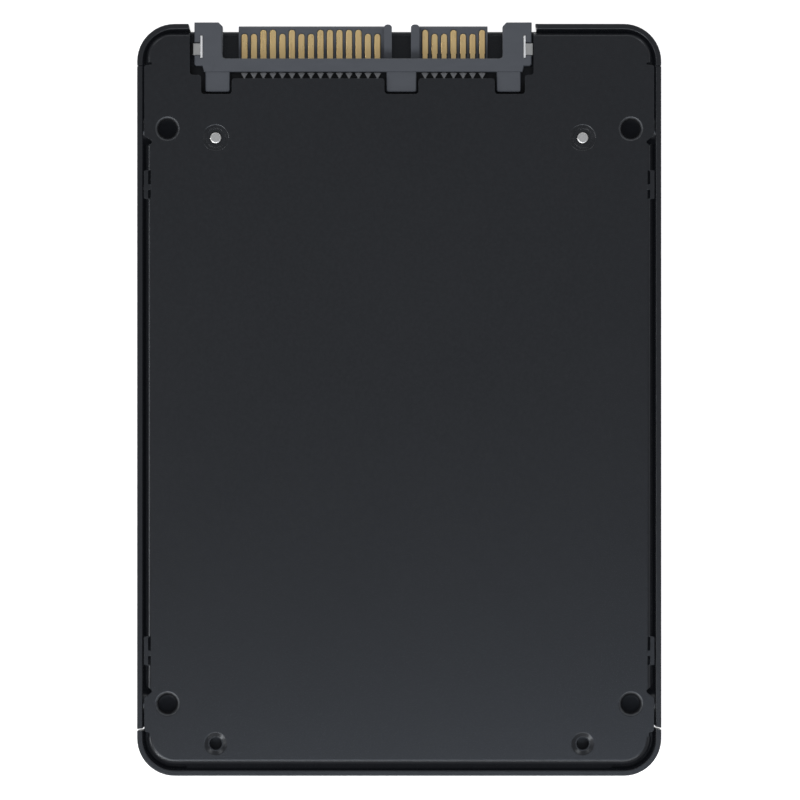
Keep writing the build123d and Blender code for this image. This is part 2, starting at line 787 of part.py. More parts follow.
def contact(x, tip, neck_width):
    """One contact: a blade on the tongue, a riser in the body and a tail on the board."""
    half = contact_width / 2
    with BuildSketch(Plane.XY.offset(contact_bottom_z)) as blade:
        with BuildLine():
            Polyline(
                (x - half, from_end(tip + half)), (x - half, from_end(neck_from)),
                (x - neck_width / 2, from_end(neck_from)),
                (x - neck_width / 2, from_end(contact_rise + contact_thickness)),
                (x + neck_width / 2, from_end(contact_rise + contact_thickness)),
                (x + neck_width / 2, from_end(neck_from)),
                (x + half, from_end(neck_from)), (x + half, from_end(tip + half)),
            )
            ThreePointArc(
                (x + half, from_end(tip + half)), (x, from_end(tip)), (x - half, from_end(tip + half))
            )
        make_face()
    extrude(blade.sketch, amount=contact_thickness)
    block(
        x - riser_width / 2, x + riser_width / 2, contact_rise, contact_rise + contact_thickness,
        contact_bottom_z, tail_top_z,
    )
    with BuildSketch(Plane.XY.offset(tail_bottom_z)) as tail:
        with BuildLine():
            Polyline(
                (x - tail_root_width / 2, from_end(contact_rise)),
                (x - tail_root_width / 2, from_end(tail_wide_from)),
                (x - tail_wide / 2, from_end(tail_wide_from)),
                (x - tail_narrow / 2, from_end(tail_taper_to)),
                (x - tail_narrow / 2, from_end(tail_end)),
                (x + tail_narrow / 2, from_end(tail_end)),
                (x + tail_narrow / 2, from_end(tail_taper_to)),
                (x + tail_wide / 2, from_end(tail_wide_from)),
                (x + tail_root_width / 2, from_end(tail_wide_from)),
                (x + tail_root_width / 2, from_end(contact_rise)),
                close=True,
            )
        make_face()
    extrude(tail.sketch, amount=contact_thickness)


def blade_tips(contacts):
    """The upper edges of the rounded blade tips."""
    return at_height(contacts.edges(), contact_top_z).filter_by(GeomType.CIRCLE)


# ================================================================ contacts
with BuildPart() as power_contacts:
    for x, reach in zip(power_contacts_x, power_tips):
        contact(x, tip_distances[reach], power_neck_width)
    fillet(blade_tips(power_contacts), radius=contact_tip_radius)
power_contacts.part.label = "power_contacts"
export_step(power_contacts.part, "parts/power_contacts.step")

with BuildPart() as signal_contacts:
    for x, reach in zip(signal_contacts_x, signal_tips):
        contact(x, tip_distances[reach], signal_neck_width)
    fillet(blade_tips(signal_contacts), radius=contact_tip_radius)
signal_contacts.part.label = "signal_contacts"
export_step(signal_contacts.part, "parts/signal_contacts.step")


def board_lock(lock_x, outward, ear_outer_x):
    """A strip on edge in the ear's slot, with a tab folded outwards and then down under the cover."""
    half = lock_strip_thickness / 2
    block(lock_x - half, lock_x + half, lock_strip_from, lock_strip_to, lock_bottom_z, lock_top_z)
    fold_x = ear_outer_x + outward * lock_tab_flat_reach
    end_x = ear_outer_x + outward * lock_tab_reach
    with BuildSketch(Plane.XZ.offset(-from_end(lock_tab_from))) as tab:
        with BuildLine():
            Polyline(
                (lock_x, lock_tab_z),
                (lock_x, lock_tab_z + lock_tab_thickness),
                (fold_x, lock_tab_z + lock_tab_thickness),
                (end_x, lock_tab_z + lock_tab_thickness - lock_tab_drop),
                (end_x - outward * lock_tab_thickness, lock_tab_z + lock_tab_thickness - lock_tab_drop),
                (fold_x - outward * lock_tab_fold_inset, lock_tab_z),
                close=True,
            )
        make_face()
    extrude(tab.sketch, amount=lock_tab_to - lock_tab_from)


# ================================================================ board locks
with BuildPart() as board_lock_left:
    board_lock(left_lock_x, -1, left_ear_outer_x)
board_lock_left.part.label = "board_lock_left"
export_step(board_lock_left.part, "parts/board_lock_left.step")

with BuildPart() as board_lock_right:
    board_lock(right_lock_x, 1, right_ear_outer_x)
board_lock_right.part.label = "board_lock_right"
export_step(board_lock_right.part, "parts/board_lock_right.step")

# ================================================================ board screws
with BuildPart() as board_screws:
    for side in sides:
        x = side * dimple_x
        row = dimple_from_ends[0]
        post(x, row, board_screw_head_radius, board_bottom_z - board_screw_head_height, board_bottom_z)
        post(x, row, board_screw_radius, board_bottom_z, board_screw_tip_z)
    fillet(at_height(board_screws.edges(), board_screw_tip_z), radius=board_screw_tip_radius)
    for side in sides:
        head_face_z = board_bottom_z - board_screw_head_height
        recess_z = head_face_z + cross_recess_depth / 2
        with Locations((side * dimple_x, from_end(dimple_from_ends[0]), recess_z)):
            Box(cross_recess_length, cross_recess_width, cross_recess_depth, mode=Mode.SUBTRACT)
            Box(cross_recess_width, cross_recess_length, cross_recess_depth, mode=Mode.SUBTRACT)
board_screws.part.label = "board_screws"
export_step(board_screws.part, "parts/board_screws.step")

# ================================================================ packages on the board
with BuildPart() as controller_chip:
    chip(0, controller_from_end, controller_size, controller_size, board_top_z, board_top_z + chip_height)
    chamfer(controller_chip.faces().sort_by(Axis.Z)[-1].edges(), length=chip_edge_chamfer)
controller_chip.part.label = "controller_chip"
export_step(controller_chip.part, "parts/controller_chip.step")

with BuildPart() as controller_thermal_pad:
    pad_size = controller_size - 2 * pad_inset
    chip(0, controller_from_end, pad_size, pad_size, board_top_z + chip_height, cover_under_z)
controller_thermal_pad.part.label = "controller_thermal_pad"
export_step(controller_thermal_pad.part, "parts/controller_thermal_pad.step")

with BuildPart() as flash_chip_one:
    chip(-flash_x, flash_from_end, flash_width, flash_length, board_top_z, board_top_z + chip_height)
    chamfer(flash_chip_one.faces().sort_by(Axis.Z)[-1].edges(), length=chip_edge_chamfer)
flash_chip_one.part.label = "flash_chip_one"
export_step(flash_chip_one.part, "parts/flash_chip_one.step")

with BuildPart() as flash_chip_two:
    chip(flash_x, flash_from_end, flash_width, flash_length, board_top_z, board_top_z + chip_height)
    chamfer(flash_chip_two.faces().sort_by(Axis.Z)[-1].edges(), length=chip_edge_chamfer)
flash_chip_two.part.label = "flash_chip_two"
export_step(flash_chip_two.part, "parts/flash_chip_two.step")

with BuildPart() as flash_chip_three:
    chip(-flash_x, flash_from_end, flash_width, flash_length, board_bottom_z - chip_height, board_bottom_z)
    chamfer(flash_chip_three.faces().sort_by(Axis.Z)[0].edges(), length=chip_edge_chamfer)
flash_chip_three.part.label = "flash_chip_three"
export_step(flash_chip_three.part, "parts/flash_chip_three.step")

with BuildPart() as flash_chip_four:
    chip(flash_x, flash_from_end, flash_width, flash_length, board_bottom_z - chip_height, board_bottom_z)
    chamfer(flash_chip_four.faces().sort_by(Axis.Z)[0].edges(), length=chip_edge_chamfer)
flash_chip_four.part.label = "flash_chip_four"
export_step(flash_chip_four.part, "parts/flash_chip_four.step")

with BuildPart() as flash_thermal_pads:
    pad_width = flash_width - 2 * pad_inset
    pad_length = flash_length - 2 * pad_inset
    for side in sides:
        chip(side * flash_x, flash_from_end, pad_width, pad_length, board_top_z + chip_height, cover_under_z)
        chip(
            side * flash_x, flash_from_end, pad_width, pad_length,
            shell_sheet, board_bottom_z - chip_height,
        )
flash_thermal_pads.part.label = "flash_thermal_pads"
export_step(flash_thermal_pads.part, "parts/flash_thermal_pads.step")

with BuildPart() as memory_chip:
    chip(memory_x, memory_from_end, memory_width, memory_length, board_top_z, board_top_z + memory_height)
    chamfer(memory_chip.faces().sort_by(Axis.Z)[-1].edges(), length=chip_edge_chamfer)
memory_chip.part.label = "memory_chip"
export_step(memory_chip.part, "parts/memory_chip.step")

with BuildPart() as power_chip:
    chip(
        power_chip_x, power_chip_from_end, power_chip_size, power_chip_size,
        board_top_z, board_top_z + power_chip_height,
    )
power_chip.part.label = "power_chip"
export_step(power_chip.part, "parts/power_chip.step")

with BuildPart() as load_switch:
    chip(
        load_switch_x, load_switch_from_end, load_switch_size, load_switch_size,
        board_top_z, board_top_z + load_switch_height,
    )
load_switch.part.label = "load_switch"
export_step(load_switch.part, "parts/load_switch.step")

with BuildPart() as crystal_oscillator:
    chip(
        crystal_x, crystal_from_end, crystal_width, crystal_length,
        board_top_z, board_top_z + crystal_height,
    )
    fillet(crystal_oscillator.edges().filter_by(Axis.Z), radius=crystal_corner_radius)
crystal_oscillator.part.label = "crystal_oscillator"
export_step(crystal_oscillator.part, "parts/crystal_oscillator.step")

# ================================================================ small parts of the board
with BuildPart() as power_inductors:
    for place in range(inductor_count):
        row = inductor_from_end + place * inductor_pitch
        chip(inductor_x, row, inductor_size, inductor_size, board_top_z, board_top_z + inductor_height)
    fillet(power_inductors.edges().filter_by(Axis.Z), radius=inductor_corner_radius)
power_inductors.part.label = "power_inductors"
export_step(power_inductors.part, "parts/power_inductors.step")

with BuildPart() as tantalum_capacitors:
    for side in sides:
        for place in range(tantalum_row_count):
            row = tantalum_from_end + place * tantalum_pitch
            chip(
                side * tantalum_x, row, tantalum_width, tantalum_length,
                board_top_z, board_top_z + tantalum_height,
            )
tantalum_capacitors.part.label = "tantalum_capacitors"
export_step(tantalum_capacitors.part, "parts/tantalum_capacitors.step")

with BuildPart() as ceramic_capacitors:
    # one row on each face of the board near the plug
    for place in range(ceramic_row_count):
        x = ceramic_pitch * (place - (ceramic_row_count - 1) / 2)
        chip(
            x, upper_ceramics_from_end, ceramic_width, ceramic_length,
            board_top_z, board_top_z + ceramic_height,
        )
        chip(
            x, lower_ceramics_from_end, ceramic_width, ceramic_length,
            board_bottom_z - ceramic_height, board_bottom_z,
        )
    # a column outside each flash package
    for side in sides:
        for place in range(ceramic_column_count):
            row = ceramic_column_from_end + small_part_pitch * place
            chip(
                side * ceramic_column_x, row, ceramic_width, ceramic_length,
                board_top_z, board_top_z + ceramic_height,
            )
ceramic_capacitors.part.label = "ceramic_capacitors"
export_step(ceramic_capacitors.part, "parts/ceramic_capacitors.step")

with BuildPart() as chip_resistors:
    for side in sides:
        for place in range(resistor_count):
            row = resistors_from_end + small_part_pitch * place
            chip(
                side * resistor_x, row, resistor_width, resistor_length,
                board_top_z, board_top_z + resistor_height,
            )
chip_resistors.part.label = "chip_resistors"
export_step(chip_resistors.part, "parts/chip_resistors.step")
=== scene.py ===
import json
import math

import bpy
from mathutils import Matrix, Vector


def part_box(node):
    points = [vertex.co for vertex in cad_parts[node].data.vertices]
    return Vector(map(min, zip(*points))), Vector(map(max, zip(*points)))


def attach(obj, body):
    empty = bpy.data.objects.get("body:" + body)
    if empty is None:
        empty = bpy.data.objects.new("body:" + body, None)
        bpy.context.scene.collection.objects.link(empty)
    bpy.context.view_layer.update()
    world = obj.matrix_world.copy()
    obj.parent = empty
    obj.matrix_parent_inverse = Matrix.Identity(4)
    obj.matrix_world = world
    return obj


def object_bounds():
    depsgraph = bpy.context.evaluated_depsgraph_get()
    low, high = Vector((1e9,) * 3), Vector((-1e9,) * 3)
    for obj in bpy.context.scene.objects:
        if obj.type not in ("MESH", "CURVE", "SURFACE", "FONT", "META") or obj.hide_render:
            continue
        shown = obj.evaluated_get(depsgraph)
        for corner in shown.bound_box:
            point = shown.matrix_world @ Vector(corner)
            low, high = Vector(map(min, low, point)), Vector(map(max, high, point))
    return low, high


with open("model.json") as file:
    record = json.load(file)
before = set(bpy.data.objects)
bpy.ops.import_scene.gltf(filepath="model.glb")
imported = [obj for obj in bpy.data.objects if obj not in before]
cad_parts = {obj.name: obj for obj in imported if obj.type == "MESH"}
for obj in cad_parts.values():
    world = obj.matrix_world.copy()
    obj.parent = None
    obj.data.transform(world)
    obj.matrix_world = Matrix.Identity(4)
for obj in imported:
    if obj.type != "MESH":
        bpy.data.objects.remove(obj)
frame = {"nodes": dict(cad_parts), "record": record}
cad_low, cad_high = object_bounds()
nodes = frame["nodes"]
scene = bpy.context.scene

# lengths are in metres, and noise scales are per metre
MM = 0.001

# ------------------------------------------------------------------ mounting holes of the cover
mounts = {mount["name"]: mount for mount in frame["record"]["mounts"]}
pattern = mounts["bottom_screw_holes"]
bore = pattern["dims"]["hole_r_mm"] * MM
half_x = pattern["dims"]["spacing_x_mm"] * MM / 2
half_y = pattern["dims"]["spacing_y_mm"] * MM / 2
middle_y = pattern["pos_m"][1]

# ------------------------------------------------------------------ view and light
scene.view_settings.view_transform = "Standard"
scene.view_settings.look = "None"

CAMERA_DISTANCE = 1.2
VIEW_WIDTH = 0.10656
SENSOR_WIDTH = 36.0
NEAR_CLIP = 0.05
FAR_CLIP = 20.0
AIM_X = 0.11 * MM
AIM_Y = -0.12 * MM

FLOOR_HALF_SIZE = 3.0
FLOOR_DROP = 0.15 * MM
FLOOR_GLOW = 0.75


def add_camera():
    """A camera straight above the drive, far away with a long lens."""
    data = bpy.data.cameras.new("camera")
    data.sensor_width = SENSOR_WIDTH
    data.lens = SENSOR_WIDTH * CAMERA_DISTANCE / VIEW_WIDTH
    data.clip_start = NEAR_CLIP
    data.clip_end = FAR_CLIP
    camera = bpy.data.objects.new("camera", data)
    scene.collection.objects.link(camera)
    camera.location = (AIM_X, AIM_Y, cad_high.z + CAMERA_DISTANCE)
    scene.camera = camera


def add_softbox(name, azimuth, tilt, distance, width, height, radiance, colour=(1.0, 1.0, 1.0)):
    """A rectangular light aimed at the object; azimuth from +X, tilt from straight overhead, degrees."""
    turn = math.radians(azimuth)
    lean = math.radians(tilt)
    data = bpy.data.lights.new(name, "AREA")
    data.shape = "RECTANGLE"
    data.size = width
    data.size_y = height
    data.energy = radiance * math.pi * width * height
    data.color = colour
    light = bpy.data.objects.new(name, data)
    scene.collection.objects.link(light)
    flat = distance * math.sin(lean)
    light.location = (flat * math.cos(turn), flat * math.sin(turn), distance * math.cos(lean))
    light.rotation_euler = (-light.location).to_track_quat("-Z", "Y").to_euler()


def add_world(strength, colour):
    world = bpy.data.worlds.new("studio")
    scene.world = world
    world.use_nodes = True
    background = world.node_tree.nodes["Background"]
    background.inputs["Color"].default_value = (*colour, 1.0)
    background.inputs["Strength"].default_value = strength


def add_floor():
    """A plain white floor just under the drive; its glow keeps the background white."""
    half = FLOOR_HALF_SIZE
    corners = [(x, y, -FLOOR_DROP) for x, y in ((-half, -half), (half, -half), (half, half), (-half, half))]
    mesh = bpy.data.meshes.new("floor")
    mesh.from_pydata(corners, [], [(0, 1, 2, 3)])
    floor = bpy.data.objects.new("floor", mesh)
    scene.collection.objects.link(floor)
    material = bpy.data.materials.new("floor")
    material.use_nodes = True
    shader = material.node_tree.nodes["Principled BSDF"]
    shader.inputs["Base Color"].default_value = (0.9, 0.9, 0.9, 1.0)
    shader.inputs["Roughness"].default_value = 0.9
    shader.inputs["Specular IOR Level"].default_value = 0.1
    shader.inputs["Emission Color"].default_value = (1.0, 1.0, 1.0, 1.0)
    shader.inputs["Emission Strength"].default_value = FLOOR_GLOW
    mesh.materials.append(material)


# ------------------------------------------------------------------ material nodes
# how far the rounded normal turns from the flat one where an edge starts to show, and where it is full
EDGE_START = 0.02
EDGE_FULL = 0.25
BEVEL_SAMPLES = 4


class Maker:
    """Builds one material's nodes."""

    def __init__(self, name):
        self.material = bpy.data.materials.new(name)
        self.material.use_nodes = True
        self.tree = self.material.node_tree
        self.shader = self.tree.nodes["Principled BSDF"]
        self.place = self.add("ShaderNodeTexCoord").outputs["Object"]

    def add(self, kind, **settings):
        node = self.tree.nodes.new(kind)
        for key, value in settings.items():
            setattr(node, key, value)
        return node

    def link(self, source, target):
        self.tree.links.new(source, target)

    def set(self, **values):
        """Sets constants on the shader's own sockets, with underscores for the spaces in their names."""
        for key, value in values.items():
            self.shader.inputs[key.replace("_", " ")].default_value = value

    def scaled(self, stretch):
        mapping = self.add("ShaderNodeMapping")
        mapping.inputs["Scale"].default_value = stretch
        self.link(self.place, mapping.inputs["Vector"])
        return mapping.outputs["Vector"]

    def split(self):
        """The X, Y and Z of the place on the object."""
        parts = self.add("ShaderNodeSeparateXYZ")
        self.link(self.place, parts.inputs["Vector"])
        return parts.outputs["X"], parts.outputs["Y"], parts.outputs["Z"]

    def noise(self, scale, detail=3.0, roughness=0.5, stretch=None, distortion=0.0):
        node = self.add("ShaderNodeTexNoise")
        node.inputs["Scale"].default_value = scale
        node.inputs["Detail"].default_value = detail
        node.inputs["Roughness"].default_value = roughness
        node.inputs["Distortion"].default_value = distortion
        self.link(self.scaled(stretch) if stretch else self.place, node.inputs["Vector"])
        return node.outputs["Fac"]

    def grain(self, scale, stretch=None):
        """Noise with a lot of fine detail."""
        return self.noise(scale, detail=4.0, roughness=0.6, stretch=stretch)

    def ramp(self, source, stops):
        """A grey ramp through stops, which are positions and values."""
        node = self.add("ShaderNodeValToRGB")
        for element, (position, value) in zip(node.color_ramp.elements, stops):
            element.position = position
            element.color = (value, value, value, 1.0)
        self.link(source, node.inputs["Fac"])
        return node.outputs["Color"]

    def math(self, operation, a, b=None, clamp=False):
        node = self.add("ShaderNodeMath", operation=operation, use_clamp=clamp)
        for socket, value in zip(node.inputs, (a, b)):
            if value is None:
                continue
            if isinstance(value, (int, float)):
                socket.default_value = value
            else:
                self.link(value, socket)
        return node.outputs["Value"]

    def mix(self, factor, a, b):
        node = self.add("ShaderNodeMix", data_type="RGBA")
        sockets = {s.identifier: s for s in node.inputs}
        for key, value in (("Factor_Float", factor), ("A_Color", a), ("B_Color", b)):
            socket = sockets[key]
            if isinstance(value, tuple):
                socket.default_value = (*value, 1.0)
            else:
                self.link(value, socket)
        return next(s for s in node.outputs if s.identifier == "Result_Color")

    def rounded_normal(self, radius):
        """The normal with the sharp edges of the mesh rounded to a radius."""
        bevel = self.add("ShaderNodeBevel", samples=BEVEL_SAMPLES)
        bevel.inputs["Radius"].default_value = radius
        return bevel.outputs["Normal"]

    def bump(self, heights, distance, radius):
        """Bump from a height socket, over edges rounded to a radius."""
        node = self.add("ShaderNodeBump")
        node.inputs["Distance"].default_value = distance
        node.inputs["Strength"].default_value = 1.0
        self.link(heights, node.inputs["Height"])
        self.link(self.rounded_normal(radius), node.inputs["Normal"])
        self.link(node.outputs["Normal"], self.shader.inputs["Normal"])

    def edge_mask(self, radius):
        """1 on sharp edges of the mesh and 0 away from them."""
        geometry = self.add("ShaderNodeNewGeometry")
        dot = self.add("ShaderNodeVectorMath", operation="DOT_PRODUCT")
        self.link(self.rounded_normal(radius), dot.inputs[0])
        self.link(geometry.outputs["Normal"], dot.inputs[1])
        turned = self.math("SUBTRACT", 1.0, dot.outputs["Value"], clamp=True)
        return self.ramp(turned, [(EDGE_START, 0.0), (EDGE_FULL, 1.0)])

    def span(self, source, low, high, start=0.0, end=1.0):
        """Maps a source that runs from start to end onto low to high."""
        node = self.add("ShaderNodeMapRange")
        node.inputs["From Min"].default_value = start
        node.inputs["From Max"].default_value = end
        node.inputs["To Min"].default_value = low
        node.inputs["To Max"].default_value = high
        self.link(source, node.inputs["Value"])
        return node.outputs["Result"]

    def hole_entries(self, inner, outer):
        """1 within inner of the axis of a mounting hole of the cover, fading to 0 at outer."""
        x, y, _ = self.split()
        across = self.math("SUBTRACT", self.math("ABSOLUTE", x), half_x)
        from_middle = self.math("ABSOLUTE", self.math("SUBTRACT", y, middle_y))
        along = self.math("SUBTRACT", from_middle, half_y)
        squares = self.math("ADD", self.math("MULTIPLY", across, across), self.math("MULTIPLY", along, along))
        return self.span(self.math("SQRT", squares), 1.0, 0.0, inner, outer)

    def colour(self, socket):
        self.link(socket, self.shader.inputs["Base Color"])

    def rough(self, socket):
        self.link(socket, self.shader.inputs["Roughness"])


def paler(colour, factor):
    return tuple(factor * value for value in colour)


# ------------------------------------------------------------------ painted metal
PAINT_DARK = (0.0052, 0.0056, 0.0066)
PAINT_LIGHT = (0.0084, 0.0088, 0.01)
PAINT_SHINE = 0.4
PAINT_TINT = (0.92, 0.96, 1.0, 1.0)
PAINT_ROUGHNESS = (0.2, 0.32)
PAINT_CLOUD_SCALE = 60.0
PAINT_SPECK_SCALE = 2500.0
PAINT_GRAIN_SCALE = 9000.0
PAINT_GRAIN_HEIGHT = 0.002 * MM
PAINT_EDGE_RADIUS = 0.06 * MM
# a faint painted glow, light that no lamp gives, which lifts the deepest blacks, as the photograph has them
PAINT_GLOW = 0.003
PAINT_GLOW_COLOUR = (0.85, 0.95, 1.2, 1.0)

FLECK_SHARE = 0.35
FLECK_PALER = 1.7
# edges painted lighter: partly rubbed paint, partly a painted highlight
WEAR_AND_SHEEN_EDGE_RADIUS = 0.08 * MM
WEAR_AND_SHEEN_SHARE = 0.6
WEAR_AND_SHEEN_PALER = 12

# how far outside the bore the entry of a hole is fully rubbed, and where that ends
RUBBED_TO = 0.25 * MM
RUBBED_END = 0.36 * MM
RUBBED_ROUGHER = 0.28
RUBBED_SHINE = 1.0


def case_paint(name, dark=PAINT_DARK, light=PAINT_LIGHT, shine=PAINT_SHINE, rubbed_entries=False):
    """Black satin coating: fine grain, cloudy colour, pale flecks and lighter edges, partly rubbed bare and
    partly a painted edge highlight.

    On the cover the entries of the mounting holes are rubbed rougher and glossier by screws.
    """
    make = Maker(name)
    grain = make.grain(PAINT_GRAIN_SCALE)
    cloud = make.noise(PAINT_CLOUD_SCALE, detail=4.0)
    speck = make.noise(PAINT_SPECK_SCALE, detail=2.0)
    fleck = make.ramp(speck, [(0.35, 0.0), (0.75, 1.0)])
    patchy = make.ramp(speck, [(0.45, 0.1), (0.6, 0.8)])
    # pale edges: wear together with a painted highlight
    wear_and_sheen = make.math("MULTIPLY", make.edge_mask(WEAR_AND_SHEEN_EDGE_RADIUS), patchy, clamp=True)
    body = make.mix(cloud, dark, light)
    body = make.mix(make.math("MULTIPLY", fleck, FLECK_SHARE), body, paler(light, FLECK_PALER))
    make.colour(make.mix(make.math("MULTIPLY", wear_and_sheen, WEAR_AND_SHEEN_SHARE), body, paler(light, WEAR_AND_SHEEN_PALER)))
    make.set(Specular_IOR_Level=shine, Specular_Tint=PAINT_TINT)
    # the emission is painted light: a faint glow on the black paint
    make.set(Emission_Color=PAINT_GLOW_COLOUR, Emission_Strength=PAINT_GLOW)
    roughness = make.span(grain, *PAINT_ROUGHNESS)
    if rubbed_entries:
        scuffed = make.ramp(speck, [(0.4, 0.55), (0.6, 1.0)])
        entries = make.hole_entries(bore + RUBBED_TO, bore + RUBBED_END)
        rubbed = make.math("MULTIPLY", entries, scuffed)
        roughness = make.math("ADD", roughness, make.math("MULTIPLY", rubbed, RUBBED_ROUGHER))
        make.link(make.span(rubbed, shine, RUBBED_SHINE), make.shader.inputs["Specular IOR Level"])
    make.rough(roughness)
    make.bump(grain, PAINT_GRAIN_HEIGHT, PAINT_EDGE_RADIUS)
    return make.material


# ------------------------------------------------------------------ plastic and other moulded things
PLASTIC_FLOW_SCALE = 900.0
PLASTIC_FLOW_STRETCH = (0.4, 1.0, 1.0)
PLASTIC_GRAIN_SCALE = 6000.0
PLASTIC_GRAIN_HEIGHT = 0.005 * MM
PLASTIC_EDGE_RADIUS = 0.05 * MM
# the paler edges of mouldings are a painted highlight
PLASTIC_HIGHLIGHT_EDGE_RADIUS = 0.06 * MM
PLASTIC_EDGE_HIGHLIGHT_SHARE = 0.35
PLASTIC_EDGE_HIGHLIGHT_PALER = 1.6


def moulded_plastic(name, dark, light, roughness=(0.45, 0.62)):
    """Matt moulding with flow streaks and slightly paler edges, which are a painted highlight."""
    make = Maker(name)
    grain = make.grain(PLASTIC_GRAIN_SCALE)
    flow = make.noise(PLASTIC_FLOW_SCALE, stretch=PLASTIC_FLOW_STRETCH, distortion=0.6)
    plastic_edge_highlight = make.math("MULTIPLY", make.edge_mask(PLASTIC_HIGHLIGHT_EDGE_RADIUS), PLASTIC_EDGE_HIGHLIGHT_SHARE)
    edge_highlight_colour = tuple(min(1.0, value) for value in paler(light, PLASTIC_EDGE_HIGHLIGHT_PALER))
    make.colour(make.mix(plastic_edge_highlight, make.mix(flow, dark, light), edge_highlight_colour))
    make.rough(make.span(grain, *roughness))
    make.bump(grain, PLASTIC_GRAIN_HEIGHT, PLASTIC_EDGE_RADIUS)
    return make.material


# ------------------------------------------------------------------ bare and plated metal
METAL_CLOUD_SCALE = 700.0
METAL_STREAK_SCALE = 4000.0
METAL_STREAK_HEIGHT = 0.0025 * MM
METAL_EDGE_RADIUS = 0.04 * MM
# metal edges painted paler are a painted highlight
METAL_HIGHLIGHT_EDGE_RADIUS = 0.05 * MM
METAL_EDGE_HIGHLIGHT_SHARE = 0.5
WHITE = (1.0, 1.0, 1.0)


def plated_metal(
    name, base, deep, roughness, stretch, edge_highlight_colour=WHITE, upper=None, edge_radius=METAL_EDGE_RADIUS
):
    """Brushed metal with edges painted paler as a highlight; upper is a height and the two colours above it,
    real tinning on the contacts' tails and a painted highlight on the lock strips.
    """
    make = Maker(name)
    streak = make.grain(METAL_STREAK_SCALE, stretch=stretch)
    cloud = make.noise(METAL_CLOUD_SCALE)
    metal_edge_highlight = make.math("MULTIPLY", make.edge_mask(METAL_HIGHLIGHT_EDGE_RADIUS), METAL_EDGE_HIGHLIGHT_SHARE)
    body = make.mix(metal_edge_highlight, make.mix(cloud, base, deep), edge_highlight_colour)
    if upper:
        height, upper_base, upper_deep = upper
        above = make.math("GREATER_THAN", make.split()[2], height)
        body = make.mix(above, body, make.mix(cloud, upper_base, upper_deep))
    make.colour(body)
    make.set(Metallic=1.0)
    make.rough(make.span(streak, *roughness))
    make.bump(streak, METAL_STREAK_HEIGHT, edge_radius)
    return make.material


# the contacts' tinned tails and the standing strips of the board locks are the tops of their nodes; the tails
# are really tinned, and the white at the top of the lock strips is a painted highlight
CONTACT_TAIL_HEIGHT = 0.3 * MM
contact_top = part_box("power_contacts")[1].z
LOCK_STRIP_HIGHLIGHT_HEIGHT = 0.06 * MM
lock_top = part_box("board_lock_left")[1].z
LOCK_EDGE_RADIUS = 0.07 * MM

MATERIALS = {
    "case_shell": case_paint("case_shell_paint"),
    "case_cover": case_paint("case_cover_paint", rubbed_entries=True),
    # the discs deep inside the threaded bosses get near-black paint as painted shade
    "boss_floor": case_paint(
        "boss_floor_painted_shade", dark=(0.002, 0.0022, 0.003), light=(0.0035, 0.0038, 0.0048), shine=0.06,
    ),
    "plug_plastic": moulded_plastic("plug_plastic", (0.046, 0.0515, 0.062), (0.06, 0.066, 0.0785)),
    "contact_gold": plated_metal(
        "contact_gold", (1.0, 0.77, 0.4), (1.0, 0.7, 0.32),
        roughness=(0.22, 0.36), stretch=(1.0, 0.06, 1.0), edge_highlight_colour=(1.0, 0.9, 0.66),
        upper=(contact_top - CONTACT_TAIL_HEIGHT, (0.36, 0.37, 0.39), (0.5, 0.51, 0.52)),
    ),
    "clip_metal": plated_metal(
        "clip_metal", (0.5, 0.5, 0.49), (0.36, 0.36, 0.35),
        roughness=(0.34, 0.46), stretch=(1.0, 0.2, 1.0), edge_highlight_colour=(0.8, 0.8, 0.8),
        # the white band along the top of each lock strip is a painted highlight
        upper=(lock_top - LOCK_STRIP_HIGHLIGHT_HEIGHT, WHITE, (0.92, 0.92, 0.92)), edge_radius=LOCK_EDGE_RADIUS,
    ),
    "screw_metal": plated_metal(
        "screw_metal", (0.7, 0.7, 0.69), (0.62, 0.62, 0.61), roughness=(0.25, 0.4), stretch=(1.0, 1.0, 0.1),
    ),
    "thread_metal": plated_metal(
        "thread_metal", (0.2, 0.2, 0.205), (0.12, 0.12, 0.125),
        roughness=(0.3, 0.5), stretch=(1.0, 1.0, 0.3), edge_highlight_colour=(0.5, 0.5, 0.5),
    ),
    "board": moulded_plastic("board_mask", (0.002, 0.004, 0.009), (0.003, 0.007, 0.014), (0.35, 0.5)),
    "label": moulded_plastic("label_paper", (0.62, 0.63, 0.65), (0.7, 0.71, 0.73), (0.5, 0.7)),
    "package": moulded_plastic("package_resin", (0.012, 0.012, 0.013), (0.02, 0.02, 0.021), (0.5, 0.7)),
    "thermal_pad": moulded_plastic("thermal_pad_gum", (0.25, 0.29, 0.36), (0.3, 0.34, 0.41), (0.7, 0.9)),
    "ferrite": moulded_plastic("inductor_ferrite", (0.05, 0.05, 0.055), (0.075, 0.075, 0.08), (0.5, 0.7)),
    "capacitor_body": moulded_plastic("tantalum_resin", (0.55, 0.3, 0.04), (0.62, 0.36, 0.06), (0.4, 0.6)),
    "ceramic_body": moulded_plastic("capacitor_ceramic", (0.32, 0.2, 0.11), (0.4, 0.27, 0.16), (0.4, 0.6)),
    "resistor_body": moulded_plastic(
        "resistor_glaze", (0.015, 0.015, 0.018), (0.03, 0.03, 0.035), (0.2, 0.4),
    ),
}

for entry in frame["record"]["subparts"]:
    material = MATERIALS[entry["material_slot"]]
    mesh = nodes[entry["node"]].data
    for index in range(len(mesh.materials)):
        mesh.materials[index] = material

# ------------------------------------------------------------------ inside of the mounting holes
CIRCLE_STEPS = 40

THREAD_PITCH = 0.5 * MM
THREAD_CREST = 0.11 * MM
THREAD_WALL_SINK = 0.01 * MM
THREAD_FADE_TURNS = 0.5
# half widths of the ridge at the wall and at its crest, as shares of the pitch
THREAD_HALF_ROOT = 0.45
THREAD_HALF_CREST = 0.08

